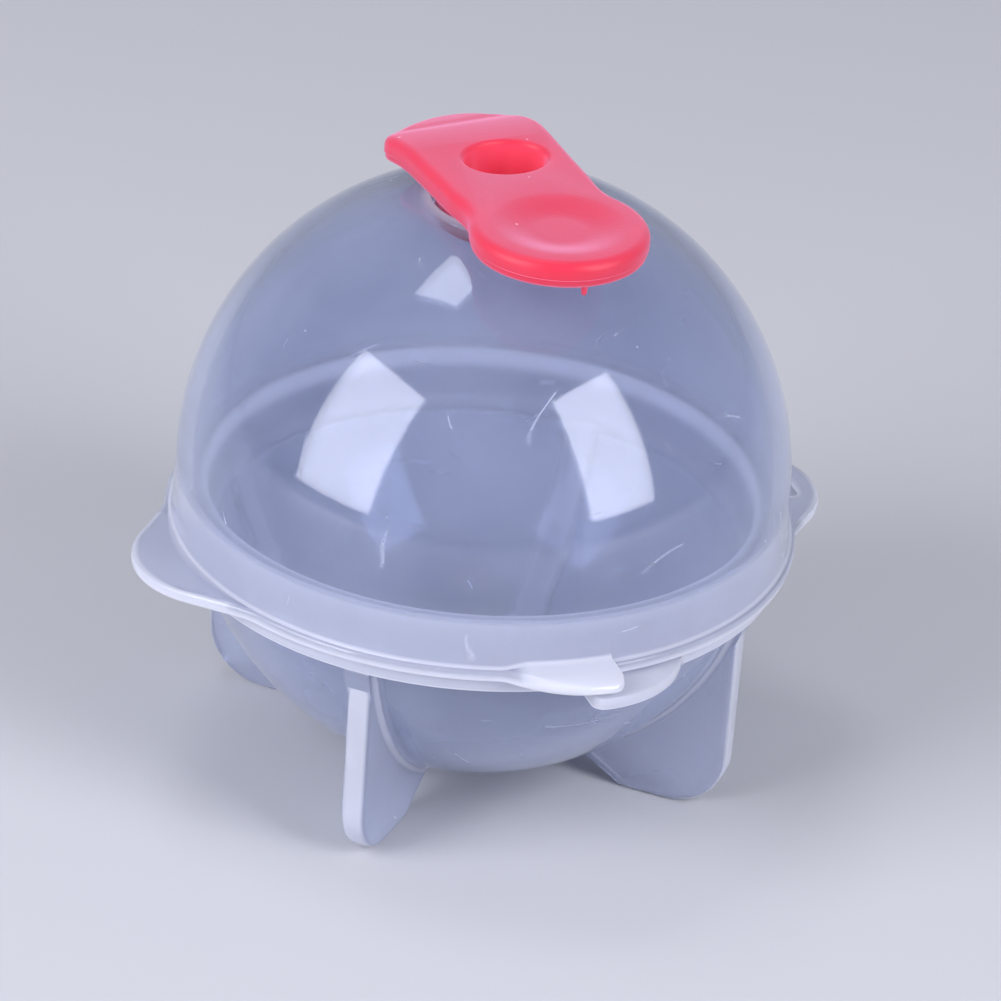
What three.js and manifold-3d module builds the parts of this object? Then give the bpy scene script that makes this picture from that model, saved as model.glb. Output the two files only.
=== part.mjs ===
// A mould for one ball of ice: a dome lid pressed over the lip of a footed bowl,
// and a soft stopper strip whose plug closes the fill hole in the lid's crown.
// Millimetres, +Z up. The front, -Y, is the side with the two finger lugs.

import * as THREE from 'three';
import { mergeVertices } from 'three/addons/utils/BufferGeometryUtils.js';
import Module from 'manifold-3d';

const wasm = await Module();
wasm.setup();

// ---------------------------------------------------------------- driving dimensions

// Heights are counted from the lid's equator, the level of the dome's centre.

const ballRadius = 25; // inside of the dome, the radius of the ice ball
const lidWall = 1.4;
const skirtDrop = 5.8; // equator down to the underside of the lid's flange
const skirtFlare = 0.25; // how far the skirt opens out over its drop
const flangeReach = 0.55; // flange beyond the flared skirt
const flangeThickness = 1;

const fitGap = 0.3; // running gap between pieces that press or rest on each other
const lipWall = 1;
const lipTop = -1;
const bowlWall = 1.6;
const bowlCentre = -1.3; // the bowl's ball centre lies just under the lip's top
const collarSetback = 0.9; // collar's edge behind the flange's edge
const collarThickness = 1.2;

const soleClearance = 0.6; // bowl's underside above the soles
const finThickness = 2.2;
const finSetback = 1.5; // fin's outer edge behind the collar's edge
const finDraft = 0.2; // how far that edge leans in over the fin's height
const finCorner = 5.3;
const soleLength = 9.6; // from the fin's outer edge in to where its inner edge rises
const finInnerSlope = 31.1; // degrees at which that edge rises to the bowl's wall
const finTurns = [45, 135, 225, 315];

const tabTipRadius = 8;
const tabTipHalfAngle = 43; // degrees of the tip's arc each side of the middle
const tabFillet = 1.3; // length of flank and of flange that each root fillet takes up
const pullTabTurn = 2; // degrees each tab stands forward of straight across
const hangTabTurn = 3.5;
const pullTabStand = 4.4; // tab's tip beyond the flange's edge
const hangTabStand = 3.4;
const slotLength = 4.8;
const slotWidth = 1.3;
const slotCorner = 0.5;
const slotRim = 2.2; // plastic left outside the slot

const lugStand = 3; // lug's front beyond the flange's edge
const lugSweep = 9.6; // radius of the lug's long tapered side
const lugEnd = 1.4; // straight end beyond the middle
const lugCorner = 1.1;
const lidLugHeight = 1.5;
const lidLugRidgeStand = 1; // flange's edge out to where the lug's top starts to fall away
const lidLugRidgeDrop = 0.35;
const lidLugEdgeDrop = 1;

const holeRadius = 6;
const plugLength = 4.3; // plug below the underside of the strip
const plugLead = 0.5; // chamfer at the plug's foot
const hollowRadius = 3.6;
const hollowDepth = 5.4;
const stripLift = 3; // top of the strip above the dome's crown
const stripThickness = 2.3;
const stripTurn = 2.6; // degrees the strip stands turned from straight ahead
const stripShift = 0.8; // the strip's middle line stands this far to the plug's left
const roundEndRadius = 7.5;
const roundEndCentre = 12.8;
const roundEndJoin = 115; // degrees round the end's circle where the sides run into it
const waistHalfWidth = 6.45;
const waistAt = 4;
const tailHalfWidth = 6.8;
const tailCornerAt = -8.6;
const tailCorner = 2.2;
const tailBulge = 2.1;
const tailBendAt = -3; // the tail bends down from here to its end
const tailDroop = 1.3;
const dishRadius = 5;
const dishDepth = 0.6;
const dishCentre = 12.8;

const roundSegments = 72;
const arcSteps = 12;

// ---------------------------------------------------------------- sizes that follow

const domeRadius = ballRadius + lidWall;
const skirtRadius = domeRadius + skirtFlare;
const flangeRadius = skirtRadius + flangeReach;
const flangeBottom = -skirtDrop;
const flangeTop = flangeBottom + flangeThickness;

const lipRadius = ballRadius - fitGap;
const bowlRadius = lipRadius - lipWall;
const bowlOuterRadius = bowlRadius + bowlWall;
const collarRadius = flangeRadius - collarSetback;
const collarTop = flangeBottom - fitGap;
const collarBottom = collarTop - collarThickness;
const sole = bowlCentre - bowlOuterRadius - soleClearance;

const stripTop = domeRadius + stripLift;
const stripBottom = stripTop - stripThickness;
const plugRadius = holeRadius - fitGap;
const plugBottom = stripBottom - plugLength;
const tailEnd = tailCornerAt - tailBulge;
const stripFront = roundEndCentre + roundEndRadius;

const pullTabReach = flangeRadius + pullTabStand;
const hangTabReach = flangeRadius + hangTabStand;
const lugReach = flangeRadius + lugStand;
const lidLugRidge = flangeRadius + lidLugRidgeStand;
const frontReach = lugReach;
const rearReach = flangeRadius;
const far = 2 * pullTabReach; // beyond every surface, for solids that only cut

// ---------------------------------------------------------------- solids

function solidOf(geometry) {
  const bare = new THREE.BufferGeometry();
  bare.setAttribute('position', geometry.getAttribute('position'));
  bare.setIndex(geometry.getIndex());
  const welded = mergeVertices(bare, 1e-4);
  const corners = welded.getIndex().array;
  const triVerts = [];
  for (let i = 0; i < corners.length; i += 3) {
    const [a, b, c] = [corners[i], corners[i + 1], corners[i + 2]];
    if (a !== b && b !== c && c !== a) triVerts.push(a, b, c);
  }
  return new wasm.Manifold(new wasm.Mesh({
    numProp: 3,
    vertProperties: new Float32Array(welded.getAttribute('position').array),
    triVerts: new Uint32Array(triVerts),
  }));
}

function geometryOf(solid) {
  const mesh = solid.getMesh();
  const geometry = new THREE.BufferGeometry();
  geometry.setAttribute('position', new THREE.BufferAttribute(mesh.vertProperties, 3));
  geometry.setIndex(new THREE.BufferAttribute(mesh.triVerts, 1));
  geometry.computeVertexNormals();
  return geometry;
}

// A profile of [radius, height] points, from the axis round to the axis, anticlockwise.
function turned(profile) {
  const points = profile.map(([radius, height]) => new THREE.Vector2(radius, height));
  const geometry = new THREE.LatheGeometry(points, roundSegments);
  geometry.rotateX(Math.PI / 2);
  return solidOf(geometry);
}

// A plan outline raised from one height to another.
function raised(shape, bottom, top) {
  const geometry = new THREE.ExtrudeGeometry(shape, {
    depth: top - bottom,
    bevelEnabled: false,
    curveSegments: arcSteps,
  });
  geometry.translate(0, 0, bottom);
  return solidOf(geometry);
}

// An outline that stands upright in the X-Z plane, thickened evenly about it.
function uprightPlate(shape, thickness) {
  const geometry = new THREE.ExtrudeGeometry(shape, {
    depth: thickness,
    bevelEnabled: false,
    curveSegments: arcSteps,
  });
  geometry.rotateX(Math.PI / 2);
  geometry.translate(0, thickness / 2, 0);
  return solidOf(geometry);
}

function cylinder(radius, bottom, top) {
  return turned([[0, bottom], [radius, bottom], [radius, top], [0, top]]);
}

// Points on a ball's profile between two angles, in degrees up from its equator.
function arc(radius, centre, from, to) {
  const points = [];
  for (let i = 0; i <= arcSteps; i += 1) {
    const angle = THREE.MathUtils.degToRad(from + (to - from) * i / arcSteps);
    points.push([radius * Math.cos(angle), centre + radius * Math.sin(angle)]);
  }
  points.forEach((point) => {
    if (point[0] < 1e-6) point[0] = 0;
  });
  return points;
}

function polar(radius, degrees) {
  const angle = THREE.MathUtils.degToRad(degrees);
  return [radius * Math.cos(angle), radius * Math.sin(angle)];
}

// ---------------------------------------------------------------- lid

// The upper flank of a tab that points along +X: where it leaves the tip's arc and where,
// running straight on, it meets the flange's edge.
function tabFlank(reach) {
  const slope = THREE.MathUtils.degToRad(tabTipHalfAngle);
  const leave = new THREE.Vector2(Math.cos(slope), Math.sin(slope)).multiplyScalar(tabTipRadius);
  leave.x += reach - tabTipRadius;
  const along = new THREE.Vector2(-Math.sin(slope), Math.cos(slope));
  const reached = leave.dot(along);
  const run = -reached - Math.sqrt(reached ** 2 - leave.lengthSq() + flangeRadius ** 2);
  return { leave, along, root: leave.clone().addScaledVector(along, run) };
}

// A finger tab that points along +X: a round tip with straight flanks and filleted roots.
function tabOutline(reach) {
  const { leave, along, root } = tabFlank(reach);
  const filletEnd = root.clone().addScaledVector(along, -tabFillet);
  const rootAngle = root.angle();
  const filletAngle = THREE.MathUtils.radToDeg(rootAngle + tabFillet / flangeRadius);
  const start = polar(flangeRadius, filletAngle);
  const inside = polar(domeRadius - lidWall / 2, filletAngle);
  const tipAngle = THREE.MathUtils.degToRad(tabTipHalfAngle);
  const shape = new THREE.Shape();
  shape.moveTo(inside[0], -inside[1]);
  shape.lineTo(start[0], -start[1]);
  shape.quadraticCurveTo(root.x, -root.y, filletEnd.x, -filletEnd.y);
  shape.lineTo(leave.x, -leave.y);
  shape.absarc(reach - tabTipRadius, 0, tabTipRadius, -tipAngle, tipAngle, false);
  shape.lineTo(filletEnd.x, filletEnd.y);
  shape.quadraticCurveTo(root.x, root.y, start[0], start[1]);
  shape.lineTo(inside[0], inside[1]);
  shape.closePath();
  return shape;
}

// A rectangle with rounded corners, given by its middle, its size and its corner radius.
function roundedBox(x, y, width, length, corner) {
  const [w, l] = [width / 2, length / 2];
  const shape = new THREE.Shape();
  shape.moveTo(x - w + corner, y - l);
  shape.lineTo(x + w - corner, y - l);
  shape.absarc(x + w - corner, y - l + corner, corner, -Math.PI / 2, 0, false);
  shape.lineTo(x + w, y + l - corner);
  shape.absarc(x + w - corner, y + l - corner, corner, 0, Math.PI / 2, false);
  shape.lineTo(x - w + corner, y + l);
  shape.absarc(x - w + corner, y + l - corner, corner, Math.PI / 2, Math.PI, false);
  shape.lineTo(x - w, y - l + corner);
  shape.absarc(x - w + corner, y - l + corner, corner, Math.PI, 1.5 * Math.PI, false);
  shape.closePath();
  return shape;
}

// A finger lug that points along +Y: a long sweep on one side, a short straight end on the other.
function lugOutline() {
  const sweepCentre = lugReach - lugSweep;
  const cornerAt = lugEnd - lugCorner;
  const root = domeRadius - lidWall;
  const leave = Math.asin((root - sweepCentre) / lugSweep);
  const shape = new THREE.Shape();
  shape.moveTo(-lugSweep * Math.cos(leave), root);
  shape.absarc(0, sweepCentre, lugSweep, Math.PI - leave, Math.PI / 2, true);
  shape.lineTo(cornerAt, lugReach);
  shape.absarc(cornerAt, lugReach - lugCorner, lugCorner, Math.PI / 2, 0, true);
  shape.lineTo(lugEnd, root);
  shape.closePath();
  return shape;
}

// The lid's lug is level as far as its ridge and then falls away to a thinner edge.
function lidLug() {
  const top = flangeBottom + lidLugHeight;
  const plate = raised(lugOutline(), flangeBottom, top);
  const under = turned([
    [0, -far],
    [lugReach, -far],
    [lugReach, top - lidLugEdgeDrop],
    [lidLugRidge, top - lidLugRidgeDrop],
    [skirtRadius, top],
    [0, top + lidWall],
  ]);
  return plate.mirror([0, 1, 0]).intersect(under);
}

function makeLid() {
  const outside = turned([
    [0, flangeBottom],
    [flangeRadius, flangeBottom],
    [flangeRadius, flangeTop],
    [skirtRadius, flangeTop],
    ...arc(domeRadius, 0, 0, 90),
  ]);
  const pullTab = raised(tabOutline(pullTabReach), flangeBottom, flangeTop)
    .rotate([0, 0, 180 + pullTabTurn]);
  const slotAt = hangTabReach - slotRim - slotWidth / 2;
  const slot = raised(roundedBox(slotAt, 0, slotWidth, slotLength, slotCorner), -far, far);
  const hangTab = raised(tabOutline(hangTabReach), flangeBottom, flangeTop)
    .subtract(slot)
    .rotate([0, 0, -hangTabTurn]);
  const cavity = turned([
    [0, -far],
    [ballRadius + skirtFlare, -far],
    [ballRadius + skirtFlare, flangeBottom],
    ...arc(ballRadius, 0, 0, 90),
  ]);
  return outside
    .add(pullTab)
    .add(hangTab)
    .add(lidLug())
    .subtract(cavity)
    .subtract(cylinder(holeRadius, 0, far));
}

// ---------------------------------------------------------------- base

// Where the fin's inner edge, rising inwards from the sole, reaches the middle of the bowl's wall.
function wallMeet(x, z) {
  const slope = THREE.MathUtils.degToRad(finInnerSlope);
  const start = new THREE.Vector2(x, z - bowlCentre);
  const rise = new THREE.Vector2(-Math.cos(slope), Math.sin(slope));
  const along = start.dot(rise);
  const outside = start.lengthSq() - (bowlRadius + bowlWall / 2) ** 2;
  start.addScaledVector(rise, -along - Math.sqrt(along ** 2 - outside));
  return [start.x, start.y + bowlCentre];
}

// A fin that stands in the X-Z plane, from inside the bowl's wall out to its edge and sole.
function finOutline() {
  const edgeTop = collarRadius - finSetback;
  const edgeBottom = edgeTop - finDraft;
  const soleInner = edgeBottom - soleLength;
  const hidden = bowlRadius - bowlWall;
  const shape = new THREE.Shape();
  shape.moveTo(hidden, collarBottom + collarThickness / 2);
  shape.lineTo(...wallMeet(soleInner, sole));
  shape.lineTo(soleInner, sole);
  shape.lineTo(edgeBottom - finCorner, sole);
  shape.absarc(edgeBottom - finCorner, sole + finCorner, finCorner, -Math.PI / 2, 0, false);
  shape.lineTo(edgeTop, collarBottom + collarThickness / 2);
  shape.closePath();
  return shape;
}

function makeBase() {
  const leave = THREE.MathUtils.radToDeg(Math.asin((collarBottom - bowlCentre) / bowlOuterRadius));
  let body = turned([
    ...arc(bowlOuterRadius, bowlCentre, -90, leave),
    [collarRadius, collarBottom],
    [collarRadius, collarTop],
    [lipRadius, collarTop],
    [lipRadius, lipTop],
    [0, lipTop],
  ]);
  const fin = uprightPlate(finOutline(), finThickness);
  finTurns.forEach((turn) => {
    body = body.add(fin.rotate([0, 0, turn]));
  });
  const lug = raised(lugOutline(), collarBottom, collarTop);
  const cavity = turned([
    ...arc(bowlRadius, bowlCentre, -90, 0),
    [bowlRadius, far],
    [0, far],
  ]);
  return body.add(lug.rotate([0, 0, 180])).subtract(cavity);
}

// ---------------------------------------------------------------- stopper

// The strip's plan, lying along +X: bulged tail, waist over the plug and round pull end.
function stripOutline() {
  const join = polar(roundEndRadius, roundEndJoin);
  const joinAt = roundEndCentre + join[0];
  const slope = -join[0] / join[1];
  const lead = (joinAt - waistAt) / 3;
  const angle = THREE.MathUtils.degToRad(roundEndJoin);
  const shape = new THREE.Shape();
  shape.moveTo(tailCornerAt + tailCorner, -tailHalfWidth);
  shape.quadraticCurveTo(waistAt - lead, -waistHalfWidth, waistAt, -waistHalfWidth);
  shape.bezierCurveTo(
    waistAt + lead, -waistHalfWidth,
    joinAt - lead, -(join[1] - slope * lead),
    joinAt, -join[1],
  );
  shape.absarc(roundEndCentre, 0, roundEndRadius, -angle, angle, false);
  shape.bezierCurveTo(
    joinAt - lead, join[1] - slope * lead,
    waistAt + lead, waistHalfWidth,
    waistAt, waistHalfWidth,
  );
  const tailSide = tailHalfWidth - tailCorner;
  shape.quadraticCurveTo(waistAt - lead, waistHalfWidth, tailCornerAt + tailCorner, tailHalfWidth);
  shape.quadraticCurveTo(tailCornerAt, tailHalfWidth, tailCornerAt - tailCorner / 3, tailSide);
  shape.quadraticCurveTo(tailCornerAt - 2 * tailBulge, 0, tailCornerAt - tailCorner / 3, -tailSide);
  shape.quadraticCurveTo(tailCornerAt, -tailHalfWidth, tailCornerAt + tailCorner, -tailHalfWidth);
  return shape;
}

// The strip seen from the side, flat from the bend forwards, with its tail bent down.
function stripSide() {
  const bendControl = (tailBendAt + tailEnd) / 2;
  const shape = new THREE.Shape();
  shape.moveTo(tailEnd, stripBottom - tailDroop);
  shape.quadraticCurveTo(bendControl, stripBottom, tailBendAt, stripBottom);
  shape.lineTo(stripFront, stripBottom);
  shape.lineTo(stripFront, stripTop);
  shape.lineTo(tailBendAt, stripTop);
  shape.quadraticCurveTo(bendControl, stripTop, tailEnd, stripTop - tailDroop);
  shape.closePath();
  return shape;
}

function makeStopper() {
  const strip = uprightPlate(stripSide(), 4 * roundEndRadius)
    .intersect(raised(stripOutline(), stripBottom - 2 * tailDroop, stripTop + tailDroop))
    .translate([0, -stripShift, 0]);
  const plug = turned([
    [0, plugBottom],
    [plugRadius - plugLead, plugBottom],
    [plugRadius, plugBottom + plugLead],
    [plugRadius, stripTop - stripThickness / 2],
    [0, stripTop - stripThickness / 2],
  ]);
  const hollow = cylinder(hollowRadius, stripTop - hollowDepth, far);
  const dishBall = (dishRadius ** 2 + dishDepth ** 2) / (2 * dishDepth);
  const dish = solidOf(new THREE.SphereGeometry(dishBall, roundSegments, roundSegments))
    .translate([dishCentre, -stripShift, stripTop - dishDepth + dishBall]);
  return strip.add(plug).subtract(hollow).subtract(dish);
}

// ---------------------------------------------------------------- assembly

function plastic(color, opacity) {
  return new THREE.MeshStandardMaterial({
    color,
    opacity,
    transparent: opacity < 1,
    roughness: 0.22,
    metalness: 0,
  });
}

function silicone(color) {
  return new THREE.MeshStandardMaterial({ color, roughness: 0.55, metalness: 0 });
}

function piece(name, solid, material) {
  const mesh = new THREE.Mesh(geometryOf(solid), material);
  mesh.name = name;
  return mesh;
}

const bowlBase = piece('bowl_base', makeBase(), plastic(0xb9bfda, 0.45));
const domeLid = piece('dome_lid', makeLid(), plastic(0xc4cae2, 0.4));
const stopper = piece('stopper', makeStopper(), silicone(0xf2406a));
stopper.rotation.z = THREE.MathUtils.degToRad(stripTurn - 90);

// The origin is on the floor, under the middle of the box that holds the whole mould.
const iceMould = new THREE.Group();
iceMould.position.set(
  (pullTabReach - hangTabReach) / 2,
  (frontReach - rearReach) / 2,
  -sole,
);
iceMould.add(bowlBase, domeLid, stopper);

const model = new THREE.Group();
model.add(iceMould);

export default model;
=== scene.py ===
"""A mould for one ball of ice, dressed: a clear dome lid, a clear footed bowl and a soft stopper strip.

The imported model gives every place; this script gives the pieces their rounded edges and finishes.
"""

import logging
from collections.abc import Callable, Iterator, Sequence
from contextlib import contextmanager
from dataclasses import dataclass
from enum import Enum
from math import acos, asin, atan2, cos, degrees, exp, hypot, radians, sin, sqrt

import bmesh
import bpy
from mathutils import Matrix, Vector


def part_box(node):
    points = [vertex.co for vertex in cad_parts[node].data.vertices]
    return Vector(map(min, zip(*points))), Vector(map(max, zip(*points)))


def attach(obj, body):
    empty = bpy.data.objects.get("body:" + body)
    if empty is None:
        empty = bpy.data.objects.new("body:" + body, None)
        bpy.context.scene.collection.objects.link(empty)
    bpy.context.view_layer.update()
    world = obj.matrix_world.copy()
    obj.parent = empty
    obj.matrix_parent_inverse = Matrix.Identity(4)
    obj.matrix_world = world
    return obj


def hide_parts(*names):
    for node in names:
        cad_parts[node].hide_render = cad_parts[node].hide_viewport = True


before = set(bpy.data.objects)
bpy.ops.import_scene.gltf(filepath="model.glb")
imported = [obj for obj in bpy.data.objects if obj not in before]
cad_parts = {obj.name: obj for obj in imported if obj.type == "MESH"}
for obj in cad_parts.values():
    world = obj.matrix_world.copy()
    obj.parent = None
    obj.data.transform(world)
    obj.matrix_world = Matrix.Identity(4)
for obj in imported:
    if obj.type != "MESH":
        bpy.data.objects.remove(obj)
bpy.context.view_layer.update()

log = logging.getLogger("ice_mould")
MM = 0.001
Point = tuple[float, float]

LIP_TOP = -1.0  # millimetres from the equator up to the bowl's lip
PLASTIC_CREASE = 32.0  # degrees between faces that still shade as one surface
RUBBER_CREASE = 38.0

# What a finish reads from a piece's corners.
MILK_AND_PAINTED_HIGHLIGHT = "milk_and_painted_highlight"  # thick plastic, which looks milky, and a painted highlight on rims, rounded edges and root fillets
PAINTED_HOLLOW_LIGHT = "painted_hollow_light"  # painted light: the hollow's wall is painted brighter, standing in for light let through the thin rubber
PAINTED_LIP_LIGHT = "painted_lip_light"  # painted light: a pale glow that the bowl's lip emits though it is no lamp


class Cut(Enum):
    """What one solid does to another."""

    JOIN = "UNION"
    TAKE_AWAY = "DIFFERENCE"


# ---------------------------------------------------------------- modelling by hand


def deselect() -> None:
    """Leave edit mode and clear the selection."""
    if bpy.context.object and bpy.context.object.mode != "OBJECT":
        bpy.ops.object.mode_set(mode="OBJECT")
    bpy.ops.object.select_all(action="DESELECT")


def take(piece: bpy.types.Object) -> None:
    """Make one object the only selected and the active one.

    Args:
        piece: the object.
    """
    deselect()
    piece.select_set(True)
    bpy.context.view_layer.objects.active = piece


@contextmanager
def editing(piece: bpy.types.Object, everything: bool = True) -> Iterator[None]:
    """Open a piece in edit mode.

    Args:
        piece: the object to edit.
        everything: select all of its mesh first; otherwise nothing is selected.

    Returns:
        Nothing to use: the piece leaves edit mode when the block ends.
    """
    take(piece)
    bpy.ops.object.mode_set(mode="EDIT")
    bpy.ops.mesh.select_mode(type="VERT")
    bpy.ops.mesh.select_all(action="SELECT" if everything else "DESELECT")
    yield
    bpy.ops.object.mode_set(mode="OBJECT")


def chain(name: str, points: Sequence[Vector], closed: bool = True) -> bpy.types.Object:
    """Draw a line through points, one extrusion after another.

    Args:
        name: the new object's name.
        points: corners in metres, in order.
        closed: join the last corner to the first.

    Returns:
        The object, at the origin.
    """
    deselect()
    bpy.ops.mesh.primitive_plane_add(size=MM, location=points[0])
    piece = bpy.context.object
    piece.name = piece.data.name = name
    bpy.ops.object.transform_apply(location=True, rotation=True, scale=True)
    with editing(piece):
        bpy.ops.mesh.merge(type="CENTER")
        for before, after in zip(points, points[1:]):
            step = tuple(after - before)
            bpy.ops.mesh.extrude_region_move(TRANSFORM_OT_translate={"value": step})
        if closed:
            bpy.ops.mesh.select_all(action="SELECT")
            mesh = bmesh.from_edit_mesh(piece.data)
            mesh.verts.ensure_lookup_table()
            mesh.edges.new((mesh.verts[-1], mesh.verts[0]))
            bmesh.update_edit_mesh(piece.data)
    return piece


def tidy(piece: bpy.types.Object, reach: float = 0.002) -> None:
    """Merge doubled corners and turn every face outwards.

    Args:
        piece: the object to clean.
        reach: how near two corners must be to merge, in millimetres.
    """
    with editing(piece):
        bpy.ops.mesh.remove_doubles(threshold=reach * MM)
        bpy.ops.mesh.normals_make_consistent(inside=False)


def turned(name: str, profile: Sequence[Point], centre: Vector, sectors: Sequence[tuple[float, int]],
           closed: bool = True) -> bpy.types.Object:
    """Spin a profile right round an upright axis.

    Args:
        name: the new object's name.
        profile: [radius, height] corners in millimetres about the centre.
        centre: the axis's point at height zero, in metres.
        sectors: (degrees, steps) stretches that together make a full turn, clockwise from +X
            as seen from above.
        closed: the profile is a ring that stands off the axis or shuts on it.

    Returns:
        The closed solid.
    """
    points = [centre + Vector((r * MM, 0, z * MM)) for r, z in profile]
    piece = chain(name, points, closed)
    with editing(piece):
        for sweep, steps in sectors:
            bpy.ops.mesh.spin(steps=steps, angle=radians(sweep), center=centre, axis=(0, 0, 1))
    tidy(piece)
    return piece


def swept(name: str, section: Sequence[Vector], centre: Vector, axis: Vector, sweep: float,
          steps: int) -> bpy.types.Object:
    """Carry a closed section part of the way round an axis and close both ends.

    Args:
        name: the new object's name.
        section: corners in metres, in order, in a plane that holds the axis.
        centre: a point on the axis, in metres.
        axis: the axis's direction; the section goes clockwise seen against it.
        sweep: degrees to go.
        steps: how many facets that takes.

    Returns:
        The closed solid.
    """
    piece = chain(name, section)
    with editing(piece):
        bpy.ops.mesh.spin(steps=steps, angle=radians(sweep), center=centre, axis=axis)
        bpy.ops.mesh.select_all(action="SELECT")
        bpy.ops.mesh.fill_holes(sides=0)
    tidy(piece)
    return piece


def slab(name: str, outline: Sequence[Vector], thickness: Vector) -> bpy.types.Object:
    """Fill a flat outline and extrude it into a solid.

    Args:
        name: the new object's name.
        outline: corners in metres, in order, in one plane.
        thickness: the extrusion, in metres.

    Returns:
        The closed solid.
    """
    piece = chain(name, outline)
    with editing(piece):
        bpy.ops.mesh.edge_face_add()
        bpy.ops.mesh.extrude_region_move(TRANSFORM_OT_translate={"value": tuple(thickness)})
    tidy(piece)
    return piece


def round_edges(piece: bpy.types.Object, width: float, segments: int,
                where: Callable[[bmesh.types.BMEdge], bool]) -> None:
    """Bevel some of a piece's edges round.

    Args:
        piece: the object.
        width: the bevel's width in millimetres.
        segments: how many facets it takes.
        where: says of an edge whether it is rounded.
    """
    with editing(piece, everything=False):
        bpy.ops.mesh.select_mode(type="EDGE")
        mesh = bmesh.from_edit_mesh(piece.data)
        for edge in mesh.edges:
            edge.select_set(where(edge))
        bmesh.update_edit_mesh(piece.data)
        bpy.ops.mesh.bevel(offset=width * MM, segments=segments, affect="EDGES", profile=0.5,
                           clamp_overlap=True)


def combine(piece: bpy.types.Object, tool: bpy.types.Object, cut: Cut) -> None:
    """Join two solids or take one away from the other, and use the tool up.

    Args:
        piece: the solid that stays.
        tool: the solid that is used up.
        cut: what the tool does to the piece.
    """
    take(piece)
    step = piece.modifiers.new("cut", "BOOLEAN")
    step.operation = cut.value
    step.solver = "EXACT"
    step.object = tool
    bpy.ops.object.modifier_apply(modifier=step.name)
    bpy.data.objects.remove(tool)


def smooth(piece: bpy.types.Object, angle: float) -> None:
    """Shade a piece smooth, with creases where faces meet more sharply than an angle in degrees."""
    take(piece)
    bpy.ops.object.shade_smooth_by_angle(angle=radians(angle))


def mark(piece: bpy.types.Object, name: str, rule: Callable[[Vector], float]) -> None:
    """Write on each corner a value for its finish to read: milkiness with a painted highlight, or
    painted light.

    Args:
        piece: the finished piece.
        name: the attribute's name.
        rule: gives 0 for an ordinary wall to 1 where the milkiness and painted highlight, or the painted
            light, is strongest.
    """
    marks = piece.data.attributes.new(name, "FLOAT", "POINT")
    marks.data.foreach_set("value", [rule(corner.co) for corner in piece.data.vertices])


def arc(radius: float, centre: Point, start: float, end: float, steps: int) -> list[Point]:
    """Points on an arc, in millimetres.

    Args:
        radius: the arc's radius.
        centre: the arc's centre.
        start: first angle in degrees, anticlockwise from the first axis.
        end: last angle.
        steps: how many chords.

    Returns:
        The points, both ends among them.
    """
    turns = [radians(start + (end - start) * i / steps) for i in range(steps + 1)]
    return [(centre[0] + radius * cos(t), centre[1] + radius * sin(t)) for t in turns]


def ease(value: float, low: float, high: float) -> float:
    """A smooth rise from 0 at low to 1 at high."""
    t = min(1.0, max(0.0, (value - low) / (high - low)))
    return t * t * (3 - 2 * t)


# ---------------------------------------------------------------- finishes


def linear(hex_colour: str) -> tuple[float, float, float, float]:
    """Turn an sRGB hex colour into the linear one that a shader takes.

    Args:
        hex_colour: six hex digits, such as 'F2406A'.

    Returns:
        Red, green, blue and alpha.
    """
    parts = [int(hex_colour[i:i + 2], 16) / 255 for i in (0, 2, 4)]
    red, green, blue = [c / 12.92 if c <= 0.04045 else ((c + 0.055) / 1.055) ** 2.4 for c in parts]
    return red, green, blue, 1.0


class Graph:
    """A material's node tree, built node by node."""

    def __init__(self, name: str) -> None:
        """Start a material whose only nodes are the shader and the output.

        Args:
            name: the material's name.
        """
        self.material = bpy.data.materials.new(name)
        self.material.use_nodes = True
        self.tree = self.material.node_tree
        self.shader = self.tree.nodes["Principled BSDF"]

    def add(self, kind: str, settings: dict | None = None, **links: object) -> bpy.types.Node:
        """Add a node.

        Args:
            kind: the node's type, without the leading 'ShaderNode'.
            settings: attributes to set, or socket values where the key names an input.
            links: inputs, by name with spaces as underscores or by 'i' and a number, and what
                feeds each of them: an output socket.

        Returns:
            The node.
        """
        node = self.tree.nodes.new("ShaderNode" + kind)
        for key, value in (settings or {}).items():
            if hasattr(node, key):
                setattr(node, key, value)
            else:
                node.inputs[key].default_value = value
        for key, source in links.items():
            numbered = key[0] == "i" and key[1:].isdigit()
            socket = node.inputs[int(key[1:])] if numbered else node.inputs[key.replace("_", " ")]
            self.tree.links.new(source, socket)
        return node

    def feed(self, socket: str, source: bpy.types.NodeSocket) -> None:
        """Link an output to one of the shader's inputs."""
        self.tree.links.new(source, self.shader.inputs[socket])

    def set(self, **values: object) -> None:
        """Set the shader's own sockets, named with underscores for spaces."""
        for key, value in values.items():
            self.shader.inputs[key.replace("_", " ")].default_value = value


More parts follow.
